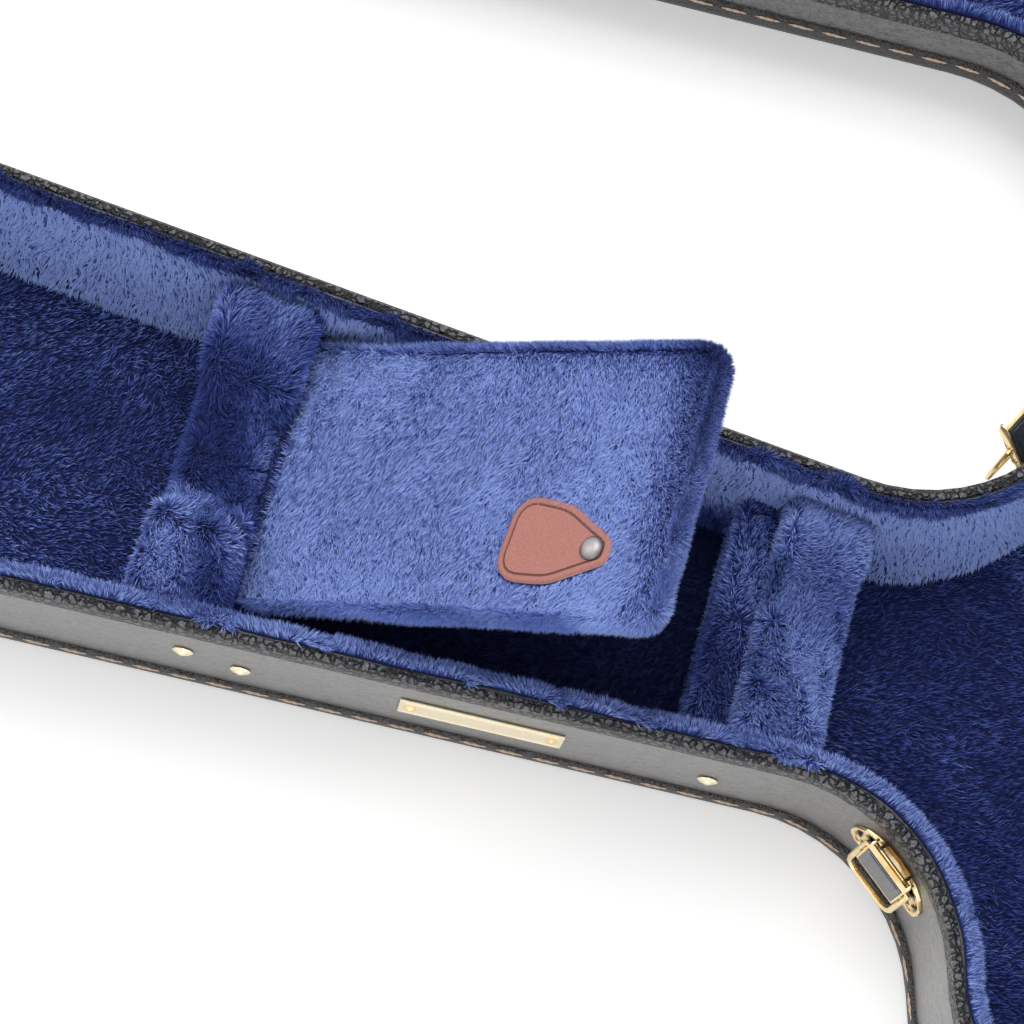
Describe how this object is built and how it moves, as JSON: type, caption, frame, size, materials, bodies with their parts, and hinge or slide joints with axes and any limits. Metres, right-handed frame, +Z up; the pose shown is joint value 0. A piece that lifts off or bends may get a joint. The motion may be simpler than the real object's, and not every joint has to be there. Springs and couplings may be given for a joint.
{
  "type": "electric guitar case",
  "caption": "Shaped hard case for an electric guitar, open, with plush lining, neck cradles, lidded accessory compartment, hinges, draw latches and handle.",
  "frame": {"origin": "centre of the base's flat bottom panel, on the surface that the case lies on", "axes": "+X from the headstock end to the butt end, +Y towards the hinges, +Z up"},
  "size_m": [1.0694, 0.7958, 0.1863],
  "materials": {
    "leatherette": "black leatherette with a fine diagonal grain, semi-matt, over plywood",
    "rim_binding": "black pebbled leather binding, satin",
    "edge_piping": "black-brown leather piping with pale stitches",
    "blue_plush": "royal blue long-pile plush, brushed",
    "brown_leather": "smooth brown leather with a pressed border",
    "satin_rivet": "satin nickel",
    "handle_leather": "black leather, satin",
    "gold_hardware": "bright gold plate"
  },
  "bodies": {
    "base": {"base_side_wall": "leatherette", "base_bottom_panel": "leatherette", "base_rim_binding": "rim_binding", "base_edge_piping": "edge_piping", "base_lining": "blue_plush", "head_neck_cradle": "blue_plush", "heel_neck_cradle": "blue_plush", "compartment_end_ledge": "blue_plush", "compartment_hinge_strip": "blue_plush", "handle_left_bracket": "gold_hardware", "handle_right_bracket": "gold_hardware", "hinge_1_base_leaf": "gold_hardware", "hinge_1_pin": "gold_hardware", "front_nail_1": "gold_hardware", "back_nail_1": "gold_hardware", "hinge_2_base_leaf": "gold_hardware", "hinge_2_pin": "gold_hardware", "front_nail_2": "gold_hardware", "back_nail_2": "gold_hardware", "hinge_3_base_leaf": "gold_hardware", "hinge_3_pin": "gold_hardware", "front_nail_3": "gold_hardware", "back_nail_3": "gold_hardware", "nameplate": "gold_hardware", "latch_throat_front_plate": "gold_hardware", "latch_front_left_plate": "gold_hardware", "latch_front_right_plate": "gold_hardware", "latch_butt_plate": "gold_hardware", "latch_throat_back_plate": "gold_hardware"},
    "lid": {"lid_side_wall": "leatherette", "lid_top_panel": "leatherette", "lid_rim_binding": "rim_binding", "lid_edge_piping": "edge_piping", "lid_lining": "blue_plush", "hinge_1_lid_leaf": "gold_hardware", "hinge_2_lid_leaf": "gold_hardware", "hinge_3_lid_leaf": "gold_hardware", "latch_throat_front_keeper": "gold_hardware", "latch_front_left_keeper": "gold_hardware", "latch_front_right_keeper": "gold_hardware", "latch_butt_keeper": "gold_hardware", "latch_throat_back_keeper": "gold_hardware"},
    "compartment_lid": {"compartment_lid": "blue_plush", "pull_tab": "brown_leather", "tab_rivet": "satin_rivet"},
    "handle": {"handle_grip": "handle_leather", "handle_left_link": "gold_hardware", "handle_right_link": "gold_hardware"},
    "lever_throat_front": {"latch_throat_front_lever": "gold_hardware"},
    "bail_throat_front": {"latch_throat_front_bail": "gold_hardware"},
    "lever_front_left": {"latch_front_left_lever": "gold_hardware"},
    "bail_front_left": {"latch_front_left_bail": "gold_hardware"},
    "lever_front_right": {"latch_front_right_lever": "gold_hardware"},
    "bail_front_right": {"latch_front_right_bail": "gold_hardware"},
    "lever_butt": {"latch_butt_lever": "gold_hardware"},
    "bail_butt": {"latch_butt_bail": "gold_hardware"},
    "lever_throat_back": {"latch_throat_back_lever": "gold_hardware"},
    "bail_throat_back": {"latch_throat_back_bail": "gold_hardware"}
  },
  "joints": [
    {"name": "lid_hinge", "type": "hinge", "parent": "base", "child": "lid", "pos_m": [0.29533, 0.195, 0.0851], "axis": [-1, 0, 0], "range_deg": [-186.32, 0]},
    {"name": "compartment_lid_hinge", "type": "hinge", "parent": "base", "child": "compartment_lid", "pos_m": [-0.2329, 0.002, 0.0601], "axis": [0, -1, 0], "range_deg": [-37.05, 55]},
    {"name": "handle_swing", "type": "hinge", "parent": "base", "child": "handle", "pos_m": [0.28932, -0.203, 0.0527], "axis": [-1, 0, 0], "range_deg": [0, 150]},
    {"name": "lever_throat_front_pivot", "type": "hinge", "parent": "base", "child": "lever_throat_front", "pos_m": [0.07575, -0.09454, 0.0682], "axis": [-0.7771, 0.6293, 0], "range_deg": [0, 140]},
    {"name": "bail_throat_front_pivot", "type": "hinge", "parent": "lever_throat_front", "child": "bail_throat_front", "pos_m": [0.07575, -0.09454, 0.0607], "axis": [-0.7771, 0.6293, 0], "range_deg": [-155, 185.3]},
    {"name": "lever_front_left_pivot", "type": "hinge", "parent": "base", "child": "lever_front_left", "pos_m": [0.19925, -0.1983, 0.0682], "axis": [-1, 0, 0], "range_deg": [0, 140]},
    {"name": "bail_front_left_pivot", "type": "hinge", "parent": "lever_front_left", "child": "bail_front_left", "pos_m": [0.19925, -0.1983, 0.0607], "axis": [-1, 0, 0], "range_deg": [-155, 185.3]},
    {"name": "lever_front_right_pivot", "type": "hinge", "parent": "base", "child": "lever_front_right", "pos_m": [0.37939, -0.1983, 0.0682], "axis": [-1, 0, 0], "range_deg": [0, 140]},
    {"name": "bail_front_right_pivot", "type": "hinge", "parent": "lever_front_right", "child": "bail_front_right", "pos_m": [0.37939, -0.1983, 0.0607], "axis": [-1, 0, 0], "range_deg": [-155, 185.3]},
    {"name": "lever_butt_pivot", "type": "hinge", "parent": "base", "child": "lever_butt", "pos_m": [0.5358, 0, 0.0682], "axis": [0, -1, 0], "range_deg": [0, 140]},
    {"name": "bail_butt_pivot", "type": "hinge", "parent": "lever_butt", "child": "bail_butt", "pos_m": [0.5358, 0, 0.0607], "axis": [0, -1, 0], "range_deg": [-155, 185.3]},
    {"name": "lever_throat_back_pivot", "type": "hinge", "parent": "base", "child": "lever_throat_back", "pos_m": [0.09495, 0.11783, 0.0682], "axis": [0.4695, 0.8829, 0], "range_deg": [-138, 2]},
    {"name": "bail_throat_back_pivot", "type": "hinge", "parent": "lever_throat_back", "child": "bail_throat_back", "pos_m": [0.09052, 0.12018, 0.07377], "axis": [0.4695, 0.8829, 0], "range_deg": [-2, 200]}
  ],
  "couplings": [
    {"joint": "compartment_lid_hinge", "follows": "lid_hinge", "ratio": 0.1985},
    {"joint": "bail_throat_front_pivot", "follows": "lever_throat_front_pivot", "ratio": -1},
    {"joint": "bail_front_left_pivot", "follows": "lever_front_left_pivot", "ratio": -1},
    {"joint": "bail_front_right_pivot", "follows": "lever_front_right_pivot", "ratio": -1},
    {"joint": "bail_butt_pivot", "follows": "lever_butt_pivot", "ratio": -1},
    {"joint": "bail_throat_back_pivot", "follows": "lever_throat_back_pivot", "ratio": -1}
  ]
}
